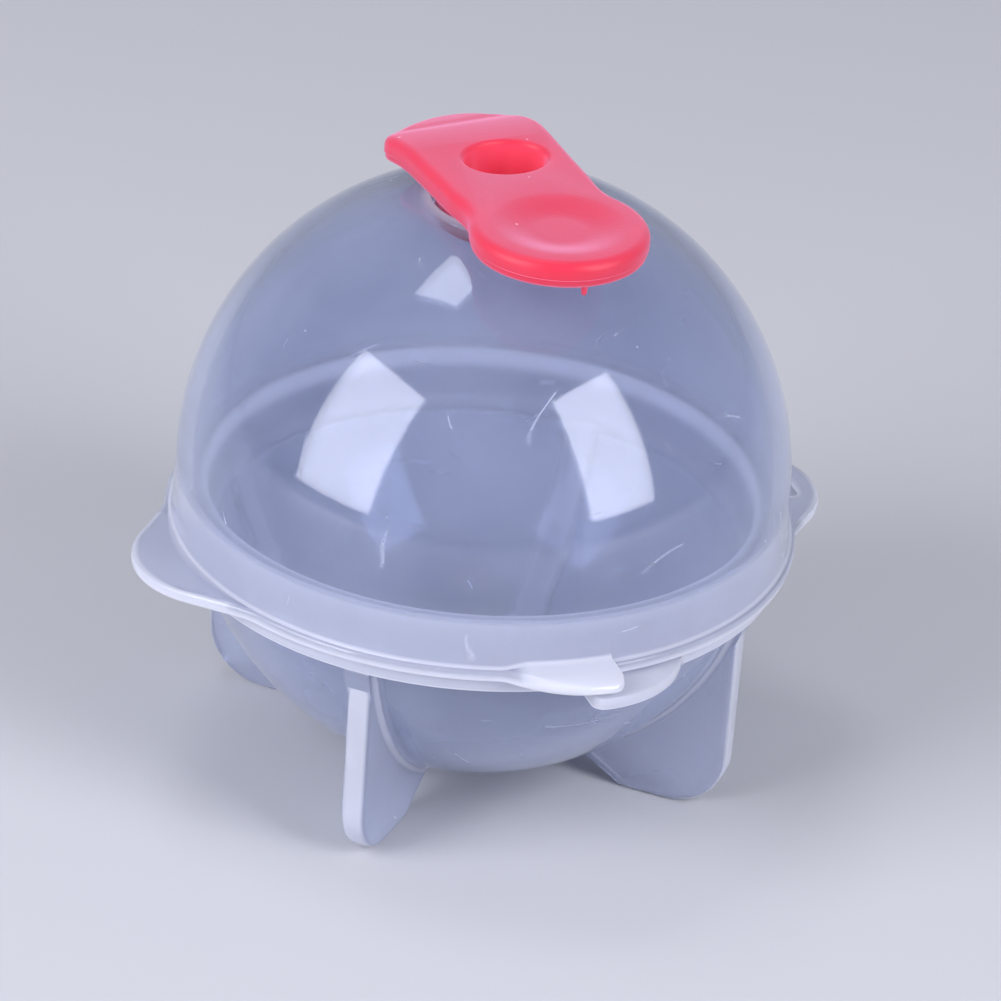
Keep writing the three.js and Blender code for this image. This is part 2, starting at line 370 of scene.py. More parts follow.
@dataclass(frozen=True)
class MilkyPolypropylene:
    """Clear random-copolymer polypropylene, injection moulded.

    Thin walls look clear but faintly milky and cool; deep rims, seen edge-on, go nearly white, partly
    milky plastic and partly a painted highlight.
    The surface is glossy with fine handling scratches, dust specks and slow mould ripples. Where a piece
    marks it, the bowl's lip emits painted light, though it is no lamp, which shows as a pale ring
    through the dome.
    Lengths are in millimetres.
    """

    name: str
    wall_tint: str = "BAC4DF"
    cloud_tint: str = "CCD3EA"
    # pale colour of milky rims with their painted highlight, and of the lip's painted light
    milk_and_painted_light_tint: str = "F4F5FE"
    clearness: float = 0.86
    unevenness: float = 0.05
    rim_clearness: float = 0.35
    edge_milk: float = 0.35
    mark_milk: float = 0.22
    # strength of the painted light that the lip emits
    painted_lip_light_strength: float = 0.25
    roughness: float = 0.06
    mark_roughness: float = 0.25
    refraction: float = 1.49
    ripple: float = 14.0
    ripple_height: float = 0.5
    scratch_run: float = 17.0
    scratch_length: float = 5.0
    scratch_edges: Point = (0.0032, 0.0008)
    speck_gap: float = 2.7
    speck_edges: Point = (0.045, 0.02)
    speck_patch: float = 9.0

    def make(self) -> bpy.types.Material:
        """Build the material.

        Returns:
            A transmitting, faintly cloudy plastic: milkier, with a painted highlight, where the piece's
                milk-and-highlight attribute is high, and emitting painted light where its lip-light
                attribute is high.
        """
        graph = Graph(self.name)
        place = graph.add("TexCoord").outputs["Object"]
        milk_and_painted_highlight = graph.add("Attribute", {"attribute_name": MILK_AND_PAINTED_HIGHLIGHT}).outputs["Fac"]
        cloud = graph.add("TexNoise", {"Scale": 1 / (self.ripple * MM), "Detail": 3.0}, Vector=place)
        swell = graph.add("TexNoise", {"Scale": 1 / (self.ripple * MM), "Detail": 0.0}, Vector=place)
        haze = cloud.outputs["Fac"]
        scratches = self._scratches(graph, place)
        specks = self._specks(graph, place)
        marks = graph.add("Math", {"operation": "MAXIMUM"}, i0=scratches, i1=specks).outputs[0]

        wall = graph.add("Mix", {"data_type": "RGBA"}, i0=haze)
        wall.inputs[6].default_value = linear(self.wall_tint)
        wall.inputs[7].default_value = linear(self.cloud_tint)
        # Milky plastic and a painted highlight: the colour goes to the pale rim colour where the
        # attribute is high.
        tint = graph.add("Mix", {"data_type": "RGBA"}, i0=milk_and_painted_highlight, i6=wall.outputs[2])
        tint.inputs[7].default_value = linear(self.milk_and_painted_light_tint)
        graph.feed("Base Color", tint.outputs[2])

        facing = graph.add("LayerWeight", {"Blend": 0.5}).outputs["Facing"]
        grazing = graph.add("Math", {"operation": "POWER"}, i0=facing)
        grazing.inputs[1].default_value = 3.0
        evenly = {"From Min": 0.3, "From Max": 0.7, "To Min": self.clearness - self.unevenness,
                  "To Max": self.clearness + self.unevenness}
        clear = graph.add("MapRange", evenly, Value=haze)
        milk = graph.add("Math", {"operation": "MULTIPLY_ADD"}, i0=grazing.outputs[0],
                         i2=clear.outputs["Result"])
        milk.inputs[1].default_value = -self.edge_milk
        marked = graph.add("Math", {"operation": "MULTIPLY_ADD"}, i0=marks, i2=milk.outputs[0])
        marked.inputs[1].default_value = -self.mark_milk
        body = graph.add("Mix", {}, i0=milk_and_painted_highlight, i2=marked.outputs[0])
        body.inputs[3].default_value = self.rim_clearness
        graph.feed("Transmission Weight", body.outputs[0])

        # Painted light: the lip emits a pale glow, though it is no lamp.
        painted_lip_light = graph.add("Attribute", {"attribute_name": PAINTED_LIP_LIGHT}).outputs["Fac"]
        painted_glow = graph.add("Math", {"operation": "MULTIPLY"}, i0=painted_lip_light)
        painted_glow.inputs[1].default_value = self.painted_lip_light_strength
        graph.feed("Emission Strength", painted_glow.outputs[0])
        graph.shader.inputs["Emission Color"].default_value = linear(self.milk_and_painted_light_tint)

        rough = graph.add("Math", {"operation": "MULTIPLY_ADD"}, i0=marks)
        rough.inputs[1].default_value = self.mark_roughness
        rough.inputs[2].default_value = self.roughness
        graph.feed("Roughness", rough.outputs[0])

        relief = graph.add("Math", {"operation": "MULTIPLY_ADD"}, i0=scratches, i2=swell.outputs["Fac"])
        relief.inputs[1].default_value = -0.02
        height = {"Strength": 0.3, "Distance": self.ripple_height * MM}
        bump = graph.add("Bump", height, Height=relief.outputs[0])
        graph.feed("Normal", bump.outputs["Normal"])
        graph.set(IOR=self.refraction, Metallic=0.0)
        return graph.material

    def _scratches(self, graph: Graph, place: bpy.types.NodeSocket) -> bpy.types.NodeSocket:
        """Sparse hairlines, gently bent, in short runs.

        Args:
            graph: the material's graph.
            place: the coordinates to draw them in.

        Returns:
            A socket that is 1 on a hairline.
        """
        lines = []
        for turn in ((0.3, 0.9, 0.4), (1.2, -0.5, 2.1)):
            laid = graph.add("Mapping", {"Rotation": turn, "Scale": (0.5, 1.6, 1.0)}, Vector=place)
            field = graph.add("TexNoise", {"Scale": 1 / (self.scratch_run * MM), "Detail": 1.0},
                              Vector=laid.outputs[0])
            off = graph.add("Math", {"operation": "SUBTRACT"}, i0=field.outputs["Fac"])
            off.inputs[1].default_value = 0.5
            away = graph.add("Math", {"operation": "ABSOLUTE"}, i0=off.outputs[0])
            edges = {"From Min": self.scratch_edges[0], "From Max": self.scratch_edges[1]}
            line = graph.add("MapRange", edges, Value=away.outputs[0])
            runs = graph.add("TexNoise", {"Scale": 1 / (self.scratch_length * MM)},
                             Vector=laid.outputs[0])
            shown = graph.add("MapRange", {"From Min": 0.6, "From Max": 0.66}, Value=runs.outputs["Fac"])
            lines.append(graph.add("Math", {"operation": "MULTIPLY"}, i0=line.outputs["Result"],
                                   i1=shown.outputs["Result"]).outputs[0])
        return graph.add("Math", {"operation": "MAXIMUM"}, i0=lines[0], i1=lines[1]).outputs[0]

    def _specks(self, graph: Graph, place: bpy.types.NodeSocket) -> bpy.types.NodeSocket:
        """Dust and tiny nicks, a few tenths of a millimetre across.

        Args:
            graph: the material's graph.
            place: the coordinates to draw them in.

        Returns:
            A socket that is 1 on a speck.
        """
        cells = graph.add("TexVoronoi", {"Scale": 1 / (self.speck_gap * MM)}, Vector=place)
        edges = {"From Min": self.speck_edges[0], "From Max": self.speck_edges[1]}
        dots = graph.add("MapRange", edges, Value=cells.outputs["Distance"])
        patches = graph.add("TexNoise", {"Scale": 1 / (self.speck_patch * MM)}, Vector=place)
        some = graph.add("MapRange", {"From Min": 0.5, "From Max": 0.52}, Value=patches.outputs["Fac"])
        both = graph.add("Math", {"operation": "MULTIPLY"}, i0=dots.outputs["Result"],
                         i1=some.outputs["Result"])
        return both.outputs[0]


@dataclass(frozen=True)
class CoralSilicone:
    """Soft moulded silicone rubber, coral red.

    Light sinks a little way in, so edges go warm, and the satin skin holds pale dust. The hollow's wall
    is painted a brighter coral, painted light for light let through it. Lengths are in millimetres.
    """

    name: str = "coral_silicone"
    deep: str = "CE1E3A"
    skin: str = "D82A49"
    # painted light: the brighter coral painted inside the hollow
    painted_glow: str = "FF5874"
    dust: str = "F7C8D2"
    bloom: str = "FFB8DC"
    roughness: float = 0.42
    light_depth: float = 2.6
    cloud_size: float = 6.0
    grain_size: float = 0.25
    dust_gap: float = 2.4

    def make(self) -> bpy.types.Material:
        """Build the material.

        Returns:
            An opaque rubber that scatters light under its skin, painted brighter inside the hollow.
        """
        graph = Graph(self.name)
        place = graph.add("TexCoord").outputs["Object"]
        cloud = graph.add("TexNoise", {"Scale": 1 / (self.cloud_size * MM), "Detail": 4.0}, Vector=place)
        grain = graph.add("TexNoise", {"Scale": 1 / (self.grain_size * MM), "Detail": 2.0}, Vector=place)
        cells = graph.add("TexVoronoi", {"Scale": 1 / (self.dust_gap * MM)}, Vector=place)
        dust = graph.add("MapRange", {"From Min": 0.07, "From Max": 0.03},
                         Value=cells.outputs["Distance"])
        tint = graph.add("Mix", {"data_type": "RGBA"}, Factor=cloud.outputs["Fac"])
        tint.inputs[6].default_value = linear(self.deep)
        tint.inputs[7].default_value = linear(self.skin)
        dusted = graph.add("Mix", {"data_type": "RGBA"}, Factor=dust.outputs["Result"])
        # Painted light: the hollow's wall is painted a brighter coral.
        painted_hollow_light = graph.add("Attribute", {"attribute_name": PAINTED_HOLLOW_LIGHT}).outputs["Fac"]
        lit = graph.add("Mix", {"data_type": "RGBA"}, i0=painted_hollow_light, i6=tint.outputs[2])
        lit.inputs[7].default_value = linear(self.painted_glow)
        graph.tree.links.new(lit.outputs[2], dusted.inputs[6])
        dusted.inputs[7].default_value = linear(self.dust)
        graph.feed("Base Color", dusted.outputs[2])
        satin = {"To Min": self.roughness - 0.06, "To Max": self.roughness + 0.1}
        rough = graph.add("MapRange", satin, Value=cloud.outputs["Fac"])
        graph.feed("Roughness", rough.outputs["Result"])
        bump = graph.add("Bump", {"Strength": 0.25, "Distance": 0.05 * MM}, Height=grain.outputs["Fac"])
        graph.feed("Normal", bump.outputs["Normal"])
        graph.set(IOR=1.41, Subsurface_Weight=0.7, Subsurface_Radius=(1.0, 0.25, 0.3),
                  Subsurface_Scale=self.light_depth * MM, Sheen_Weight=0.95, Sheen_Roughness=0.5,
                  Sheen_Tint=linear(self.bloom))
        return graph.material


@dataclass(frozen=True)
class PaleSweep:
    """Seamless matt card for the floor: pale grey with a barely visible fibre."""

    name: str = "pale_card"
    tone: str = "C6C7CB"

    def make(self) -> bpy.types.Material:
        """Build the material.

        Returns:
            An opaque matt card.
        """
        graph = Graph(self.name)
        place = graph.add("TexCoord").outputs["Object"]
        fibre = graph.add("TexNoise", {"Scale": 1 / (2 * MM)}, Vector=place)
        bump = graph.add("Bump", {"Strength": 0.05, "Distance": 0.05 * MM}, Height=fibre.outputs["Fac"])
        graph.feed("Normal", bump.outputs["Normal"])
        graph.set(Base_Color=linear(self.tone), Roughness=0.8)
        return graph.material


# ---------------------------------------------------------------- sub-assemblies


@dataclass(frozen=True)
class Place:
    """Where the mould's upright axis and its equator are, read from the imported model."""

    axis: Vector

    @classmethod
    def read(cls) -> "Place":
        """Find the axis from the bowl's box: its collar sets the sides and the back, its lip the top.

        Returns:
            The place.
        """
        low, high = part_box("bowl_base")
        radius = (high[0] - low[0]) / 2
        return cls(Vector((low[0] + radius, high[1] - radius, high[2] - LIP_TOP * MM)))

    def at(self, x: float, y: float, z: float) -> Vector:
        """A point given in millimetres about the axis and the equator."""
        return self.axis + Vector((x, y, z)) * MM

    def polar(self, corner: Vector) -> tuple[float, float, float]:
        """A corner's radius and height in millimetres, and its angle in degrees from the front.

        Angles grow towards +X.
        """
        x, y, z = (corner - self.axis) / MM
        return hypot(x, y), z, degrees(atan2(x, -y))

    def set_polar(self, corner: bmesh.types.BMVert, radius: float, z: float, angle: float) -> None:
        """Move a corner to a radius and height in millimetres and an angle in degrees."""
        turn = radians(angle)
        corner.co = self.at(radius * sin(turn), -radius * cos(turn), z)


@dataclass(frozen=True)
class Tab:
    """A finger tab in plan: a round tip with straight flanks, at an angle from the front."""

    angle: float
    reach: float
    tip_radius: float = 8.0
    tip_half_angle: float = 43.0
    spread: float = 32.0

    def radius_at(self, angle: float) -> float:
        """How far out the tab reaches at an angle.

        Args:
            angle: degrees from the front, growing towards +X.

        Returns:
            The outline's distance from the axis, 0 where a ray at that angle misses the tab.
        """
        off = radians((angle - self.angle + 180) % 360 - 180)
        if abs(off) > radians(self.spread):
            return 0.0
        middle = self.reach - self.tip_radius
        half = radians(self.tip_half_angle)
        leave = (middle + self.tip_radius * cos(half), self.tip_radius * sin(half))
        if abs(off) <= atan2(leave[1], leave[0]):
            return middle * cos(off) + sqrt(self.tip_radius ** 2 - (middle * sin(off)) ** 2)
        along = leave[0] * cos(half) + leave[1] * sin(half)
        return along / cos(half - abs(off))


@dataclass(frozen=True)
class Lug:
    """A finger lug in plan: a long sweep on one side of the front, a short square end on the other."""

    side: int
    reach: float = 30.2
    sweep: float = 9.6
    end: float = 1.4
    corner: float = 1.1
    spread: float = 30.0

    def radius_at(self, angle: float) -> float:
        """How far out the lug reaches at an angle.

        Args:
            angle: degrees from the front, growing towards +X.

        Returns:
            The outline's distance from the axis, 0 where a ray at that angle misses the lug.
        """
        off = radians(angle * self.side)
        if abs(off) > radians(self.spread):
            return 0.0
        across, ahead = sin(off), cos(off)
        if off <= 0:
            middle = self.reach - self.sweep
            within = self.sweep ** 2 - (middle * across) ** 2
            return middle * ahead + sqrt(within) if within > 0 else 0.0
        corner_x, corner_y = self.end - self.corner, self.reach - self.corner
        flat = self.reach / ahead
        if flat * across <= corner_x:
            return flat
        along = corner_x * across + corner_y * ahead
        within = self.corner ** 2 - (corner_x ** 2 + corner_y ** 2 - along ** 2)
        rounded = along + sqrt(within) if within > 0 else 0.0
        return rounded if rounded * across <= self.end else 0.0


@dataclass
class RimmedShell:
    """A turned shell whose rim is pulled out into tabs and lugs."""

    place: Place
    rim_radius: float
    blend: float = 0.5
    sectors: tuple[tuple[float, int], ...] = ((83.0, 84), (14.0, 70), (83.0, 84), (180.0, 180))

    def outline(self, angle: float, features: Sequence[Tab | Lug]) -> float:
        """The rim's outline.

        Args:
            angle: degrees from the front.
            features: tabs and lugs that may stand out there.

        Returns:
            The outline's distance from the axis in millimetres, softly blended at each root.
        """
        reaches = [feature.radius_at(angle) for feature in features]
        stand = max(reaches) - self.rim_radius
        if stand <= -self.blend:
            return self.rim_radius
        if stand >= self.blend:
            return self.rim_radius + stand
        return self.rim_radius + (stand + self.blend) ** 2 / (4 * self.blend)

    @staticmethod
    def share(radius: float, z: float, pulled: Sequence[tuple[float, float, float]]) -> float:
        """How much of the rim's outward pull a corner of the section takes.

        Args:
            radius: the corner's radius.
            z: the corner's height.
            pulled: (radius, height, share) of the section's corners that move.

        Returns:
            The share, 0 for a corner that stays.
        """
        near = [share for r, h, share in pulled if hypot(r - radius, h - z) < 0.003]
        return near[0] if near else 0.0


@dataclass
class DomeLid(RimmedShell):
    """The clear dome with its skirt, thin flange, two tabs, finger lug and fill hole."""

    rim_radius: float = 27.2
    ball: float = 25.0
    wall: float = 1.4
    drop: float = 5.8
    flare: float = 0.25
    flange: float = 1.0
    hole: float = 6.0
    lug_height: float = 1.5
    lug_ridge: float = 28.8
    ridge_drop: float = 0.25
    edge_drop: float = 0.75
    pull_tab: Tab = Tab(-88.0, 31.6)
    hang_tab: Tab = Tab(86.5, 30.6)
    lug: Lug = Lug(1)
    slot_size: tuple[float, float, float] = (1.3, 4.8, 0.5)
    slot_rim: float = 2.2

    def profile(self) -> list[tuple[float, float, float]]:
        """The wall's section.

        Returns:
            (radius, height, share of the rim's outward pull) corners in order.
        """
        outer = self.ball + self.wall
        base = -self.drop
        top = base + self.flange
        rim = self.rim_radius
        skirt = outer + self.flare
        hole_angle_in = degrees(acos(self.hole / self.ball))
        hole_angle_out = degrees(acos((self.hole + 0.35) / outer))
        mouth = self.ball + self.flare
        inside = arc(self.ball, (0, 0), hole_angle_in, 0, 40)
        outside = arc(outer, (0, 0), 0, hole_angle_out, 44)
        crown = outside[-1][1]
        ring = [(r, z, 0.0) for r, z in inside]
        ring += [(self.ball + self.flare * t, base * t, 0.0) for t in (0.35, 0.7, 0.94)]
        ring += [(mouth + 0.1, base + 0.08, 0.0), (mouth + 0.3, base, 0.0)]
        ring += [(skirt - 0.3, base, 0.0), (rim - 0.3, base, 1.0)]
        ring += [(rim - 0.1, base + 0.07, 1.0), (rim, base + 0.26, 1.0), (rim, top - 0.3, 1.0)]
        ring += [(rim - 0.1, top - 0.08, 1.0), (rim - 0.28, top, 1.0)]
        shares = (0.9, 0.8, 0.65, 0.5, 0.33, 0.16)
        ring += [(skirt + 0.22 + 0.05 * share, top, share) for share in shares]
        ring += [(skirt + 0.2, top + 0.01, 0.0), (skirt + 0.07, top + 0.1, 0.0)]
        ring += [(skirt, top + 0.35, 0.0)]
        ring += [(outer + self.flare * t, base * t, 0.0) for t in (0.62, 0.45, 0.3, 0.15)]
        ring += [(r, z, 0.0) for r, z in outside]
        ring += [(self.hole + 0.1, crown + 0.03, 0.0), (self.hole, crown - 0.1, 0.0)]
        return ring

    def pull(self, piece: bpy.types.Object, profile: Sequence[tuple[float, float, float]]) -> None:
        """Pull the rim out into the tabs and the lug, and raise the lug.

        Args:
            piece: the turned shell.
            profile: the section that it was turned from.
        """
        base = -self.drop
        pulled = [corner for corner in profile if corner[2] > 0]
        features = (self.pull_tab, self.hang_tab, self.lug)
        with editing(piece, everything=False):
            mesh = bmesh.from_edit_mesh(piece.data)
            for corner in mesh.verts:
                radius, z, angle = self.place.polar(corner.co)
                if radius < self.ball + self.flare or z > base + self.flange + 0.8:
                    continue
                share = self.share(radius, z, pulled)
                radius += share * (self.outline(angle, features) - self.rim_radius)
                within = min(1.0, (z - base) / self.flange)
                z += self.raised(angle) * within * (self.lug_thickness(radius) - self.flange)
                self.place.set_polar(corner, radius, z, angle)
            bmesh.update_edit_mesh(piece.data)

    def raised(self, angle: float) -> float:
        """How much of the lug's height stands at an angle.

        Args:
            angle: degrees from the front, growing towards +X.

        Returns:
            0 to 1: it fades in along the sweep and ends square.
        """
        if not -22 < angle < 5:
            return 0.0
        return ease(angle, -18.0, -12.5) * (1 - ease(angle, 2.62, 2.95))

    def lug_thickness(self, radius: float) -> float:
        """How thick the lug is at a radius.

        Args:
            radius: millimetres from the axis.

        Returns:
            The thickness in millimetres, which falls away beyond the ridge.
        """
        skirt = self.ball + self.wall + self.flare
        ridge, reach = self.lug_ridge, self.lug.reach
        if radius < ridge:
            return self.lug_height - self.ridge_drop * max(0.0, radius - skirt) / (ridge - skirt)
        fall = self.edge_drop - self.ridge_drop
        return self.lug_height - self.ridge_drop - fall * (radius - ridge) / (reach - ridge)

    def slot_tool(self) -> bpy.types.Object:
        """The block that cuts the hanging slot.

        Returns:
            The solid, with rounded upright edges.
        """
        width, length, corner = self.slot_size
        middle = self.hang_tab.reach - self.slot_rim - width / 2
        corners = []
        for sx, sy, start in ((1, 1, 0), (-1, 1, 90), (-1, -1, 180), (1, -1, 270)):
            centre = (middle + sx * (width / 2 - corner), sy * (length / 2 - corner))
            corners += arc(corner, centre, start, start + 90, 5)
        turn = Matrix.Rotation(radians(self.hang_tab.angle - 90), 3, "Z")
        low = self.place.at(0, 0, -self.drop - 2)
        outline = [low + turn @ Vector((x * MM, y * MM, 0)) for x, y in corners]
        return slab("slot_tool", outline, Vector((0, 0, 5 * MM)))

    def build(self) -> bpy.types.Object:
        """Model the lid.

        Returns:
            The finished lid, at the origin.
        """
        profile = self.profile()
        piece = turned("lid_shell", [(r, z) for r, z, _ in profile], self.place.axis, self.sectors)
        self.pull(piece, profile)
        combine(piece, self.slot_tool(), Cut.TAKE_AWAY)
        tidy(piece)
        smooth(piece, PLASTIC_CREASE)
        mark(piece, MILK_AND_PAINTED_HIGHLIGHT, self.milk_and_painted_highlight_at)
        return piece

    def milk_and_painted_highlight_at(self, point: Vector) -> float:
        """How milky the lid looks at a point, and where a highlight is painted on it.

        The rims of the flange and its tabs are milky and bear a painted highlight, and so are the lug
        and, a little, the skirt.

        Args:
            point: a corner of the finished lid.

        Returns:
            0 for a thin clear wall to 1.
        """
        radius, z, angle = self.place.polar(point)
        base, top = -self.drop, self.flange - self.drop
        skirt = self.ball + self.wall + self.flare
        if radius < skirt + 0.04:
            mouth = 0.6 * (1 - ease(radius, self.hole + 0.3, self.hole + 1.4)) * (z > 0)
            return max(mouth, 0.38 * ease(-z, -0.3, 0.9))
        outline = self.outline(angle, (self.pull_tab, self.hang_tab, self.lug))
        low = 1 - ease(z, base + 0.3, top - 0.25)
        tab = ease(outline, self.rim_radius + 0.2, self.rim_radius + 1.0)
        # Painted highlight on the rims, the root fillet and the slot's edge, over milky plastic.
        rim = (1 - ease(outline - radius, 0.35, 0.8)) * max(tab * 0.75, 0.45 + 0.5 * low)
        root = 0.75 * (1 - ease(radius, skirt + 0.2, skirt + 0.28)) * ease(z, top - 0.1, top - 0.02)
        raised = 0.85 * self.raised(angle)
        return max(rim, root, raised, self.slot_milk_and_highlight(point), 0.15 + 0.15 * tab)

    def slot_milk_and_highlight(self, point: Vector) -> float:
        """How milky the lid is round its hanging slot, where a highlight is painted along the cut edge.

        Args:
            point: a corner of the finished lid.

        Returns:
            0 away from the slot, up to 0.85 at its edge.
        """
        width, length, _ = self.slot_size
        turn = Matrix.Rotation(radians(90 - self.hang_tab.angle), 3, "Z")
        local = turn @ (point - self.place.axis) / MM
        middle = self.hang_tab.reach - self.slot_rim - width / 2
        off = max(abs(local.x - middle) - width / 2, abs(local.y) - length / 2)
        return 0.85 * (1 - ease(off, 0.05, 0.5))


@dataclass
class FootedBowl(RimmedShell):
    """The clear bowl with its plain lip, its collar and finger lug, and four fins to stand on."""

    rim_radius: float = 26.3
    lip: float = 24.7
    inner: float = 23.7
    wall: float = 1.6
    centre: float = -1.3
    collar_top: float = -6.1
    collar: float = 1.2
    sole: float = -27.2
    fin: float = 2.2
    fin_edge: Point = (24.8, 24.6)
    fin_corner: float = 5.3
    fin_bevel: tuple[Point, Point] = ((15.0, -27.2), (9.5, -23.88))
    fin_turns: tuple[float, ...] = (45.0, 135.0, 225.0, 315.0)
    fin_round: float = 0.6
    root_fillet: float = 1.0
    # height of the band inside the lip that emits painted light
    painted_lip_light_band: float = 1.3
    lug: Lug = Lug(-1)

    def profile(self) -> list[tuple[float, float, float]]:
        """The wall's section.

        Returns:
            (radius, height, share of the rim's outward pull) corners in order.
        """
        outer = self.inner + self.wall
        top, base = self.collar_top, self.collar_top - self.collar
        rim = self.rim_radius
        meet = degrees(asin((base - 0.45 - self.centre) / outer))
        ring = [(r, z, 0.0) for r, z in arc(outer, (0, self.centre), -90, meet, 44)]
        foot = ring[-1][0]
        ring += [(foot + 0.08, base - 0.18, 0.0), (foot + 0.3, base - 0.03, 0.0)]
        ring += [(foot + 0.5, base, 0.0)]
        ring += [(rim - 0.3, base, 1.0), (rim - 0.08, base + 0.08, 1.0), (rim, base + 0.3, 1.0)]
        ring += [(rim, top - 0.3, 1.0), (rim - 0.08, top - 0.08, 1.0), (rim - 0.3, top, 1.0)]
        ring += [(self.lip + 0.4, top, 0.0), (self.lip + 0.12, top + 0.06, 0.0)]
        ring += [(self.lip, top + 0.35, 0.0), (self.lip, top + 2.5, 0.0)]
        ring += [(self.lip, LIP_TOP - 0.35, 0.0), (self.lip - 0.1, LIP_TOP - 0.08, 0.0)]
        ring += [(self.lip - 0.32, LIP_TOP, 0.0), (self.inner + 0.3, LIP_TOP, 0.0)]
        ring += [(self.inner + 0.08, LIP_TOP - 0.08, 0.0)]
        ring += [(r, z, 0.0) for r, z in arc(self.inner, (0, self.centre), 0, -90, 44)]
        ring[0] = (0.0, ring[0][1], 0.0)
        ring[-1] = (0.0, ring[-1][1], 0.0)
        return ring

    def pull(self, piece: bpy.types.Object, profile: Sequence[tuple[float, float, float]]) -> None:
        """Pull the collar's rim out into the lug.

        Args:
            piece: the turned shell.
            profile: the section that it was turned from.
        """
        pulled = [corner for corner in profile if corner[2] > 0]
        with editing(piece, everything=False):
            mesh = bmesh.from_edit_mesh(piece.data)
            for corner in mesh.verts:
                radius, z, angle = self.place.polar(corner.co)
                share = self.share(radius, z, pulled)
                if share:
                    radius += share * (self.outline(angle, (self.lug,)) - self.rim_radius)
                    self.place.set_polar(corner, radius, z, angle)
            bmesh.update_edit_mesh(piece.data)

    def fin_solid(self) -> bpy.types.Object:
        """One fin, standing towards +X, with rounded edges.

        Returns:
            The solid, whose inner edge lies inside the bowl's wall.
        """
        middle = self.inner + self.wall / 2
        root = self.collar_top - self.collar / 2
        start = degrees(asin((root - self.centre) / middle))
        end = degrees(atan2(self.fin_bevel[1][1] - self.centre, self.fin_bevel[1][0]))
        corner = (self.fin_edge[1] - self.fin_corner, self.sole + self.fin_corner)
        outline = arc(middle, (0, self.centre), start, end, 24)
        outline += [self.fin_bevel[0]]
        outline += arc(self.fin_corner, corner, -90, 0, 14)
        outline += [(self.fin_edge[0], root)]
        points = [self.place.at(r, self.fin / 2, z) for r, z in outline]
        solid = slab("fin", points, Vector((0, -self.fin * MM, 0)))
        round_edges(solid, self.fin_round, 5, self._is_free_edge)
        combine(solid, self.root_solid(start), Cut.JOIN)
        return solid

    def root_solid(self, start: float) -> bpy.types.Object:
        """The hollow-sided strip of plastic that softens the corner between a fin and the bowl.

        Args:
            start: degrees above level, at the ball's centre, where it begins under the collar.

        Returns:
            The solid, which follows the bowl's wall along a fin that stands towards +X.
        """
        side, reach = self.fin / 2 - 0.02, self.root_fillet
        wall = self.inner + self.wall
        lift = sqrt(wall ** 2 - (side + reach) ** 2) - 0.02
        hidden = self.inner + self.wall * 0.3
        curve = [(side + reach * (1 - sin(radians(t))), lift + reach * (1 - cos(radians(t))))
                 for t in range(0, 91, 15)]
        section = [(side + reach, hidden)] + curve + [(-a, r) for a, r in reversed(curve)]
        section += [(-side - reach, hidden)]
        centre = self.place.at(0, 0, self.centre)
        first = start - 0.7
        last = degrees(atan2(self.fin_bevel[1][1] - self.centre, self.fin_bevel[1][0])) + 4.3
        turn = radians(first)
        points = [centre + Vector((r * cos(turn), a, r * sin(turn))) * MM for a, r in section]
        return swept("fin_root", points, centre, Vector((0, -1, 0)), first - last, 37)

    def _is_free_edge(self, edge: bmesh.types.BMEdge) -> bool:
        """Tell the fin's free outline from its edges across and inside the wall.

        Args:
            edge: an edge of the fin.

        Returns:
            Whether it runs round the free outline.
        """
        a, b = (corner.co - self.place.axis for corner in edge.verts)
        along = abs(a.y - b.y) < 0.1 * MM
        middle = (a + b) / 2
        from_centre = hypot(middle.x, middle.z - self.centre * MM)
        return along and from_centre > (self.inner + self.wall * 0.75) * MM

    def build(self) -> bpy.types.Object:
        """Model the bowl.

        Returns:
            The finished bowl, at the origin.
        """
        profile = self.profile()
        piece = turned("bowl_shell", [(r, z) for r, z, _ in profile], self.place.axis, self.sectors,
                       closed=False)
        self.pull(piece, profile)
        pattern = self.fin_solid()
        for turn in self.fin_turns:
            fin = pattern.copy()
            fin.data = pattern.data.copy()
            bpy.context.collection.objects.link(fin)
            spin = Matrix.Translation(self.place.axis) @ Matrix.Rotation(radians(turn), 4, "Z")
            fin.data.transform(spin @ Matrix.Translation(-self.place.axis))
            combine(piece, fin, Cut.JOIN)
        bpy.data.objects.remove(pattern)
        tidy(piece)
        smooth(piece, PLASTIC_CREASE)
        mark(piece, MILK_AND_PAINTED_HIGHLIGHT, self.milk_and_painted_highlight_at)
        # Painted light: the lip emits a pale glow.
        mark(piece, PAINTED_LIP_LIGHT, self.painted_lip_light_at)
        return piece

    def painted_lip_light_at(self, point: Vector) -> float:
        """How much painted light the bowl emits at a point, though it is no lamp: all of it inside the
        lip.

        Args:
            point: a corner of the finished bowl.

        Returns:
            1 on the lip's top and just inside it, 0 elsewhere.
        """
        radius, z, _ = self.place.polar(point)
        return float(radius < self.inner + 0.35 and z > LIP_TOP - self.painted_lip_light_band)

    def milk_and_painted_highlight_at(self, point: Vector) -> float:
        """How milky the bowl looks at a point, and where a highlight is painted on it.

        The lip, the collar's lower edge and the fins' rounded edges are milky with a painted highlight
        on them, and the wall where a fin stands on it is milky too.

        Args:
            point: a corner of the finished bowl.

        Returns:
            0 for a thin clear wall to 1.
        """
        radius, z, angle = self.place.polar(point)
        base = self.collar_top - self.collar
        outer = self.inner + self.wall
        from_centre = hypot(radius, z - self.centre)
        off = min(abs((angle - turn + 180) % 360 - 180) for turn in self.fin_turns)
        across = radius * sin(radians(off))
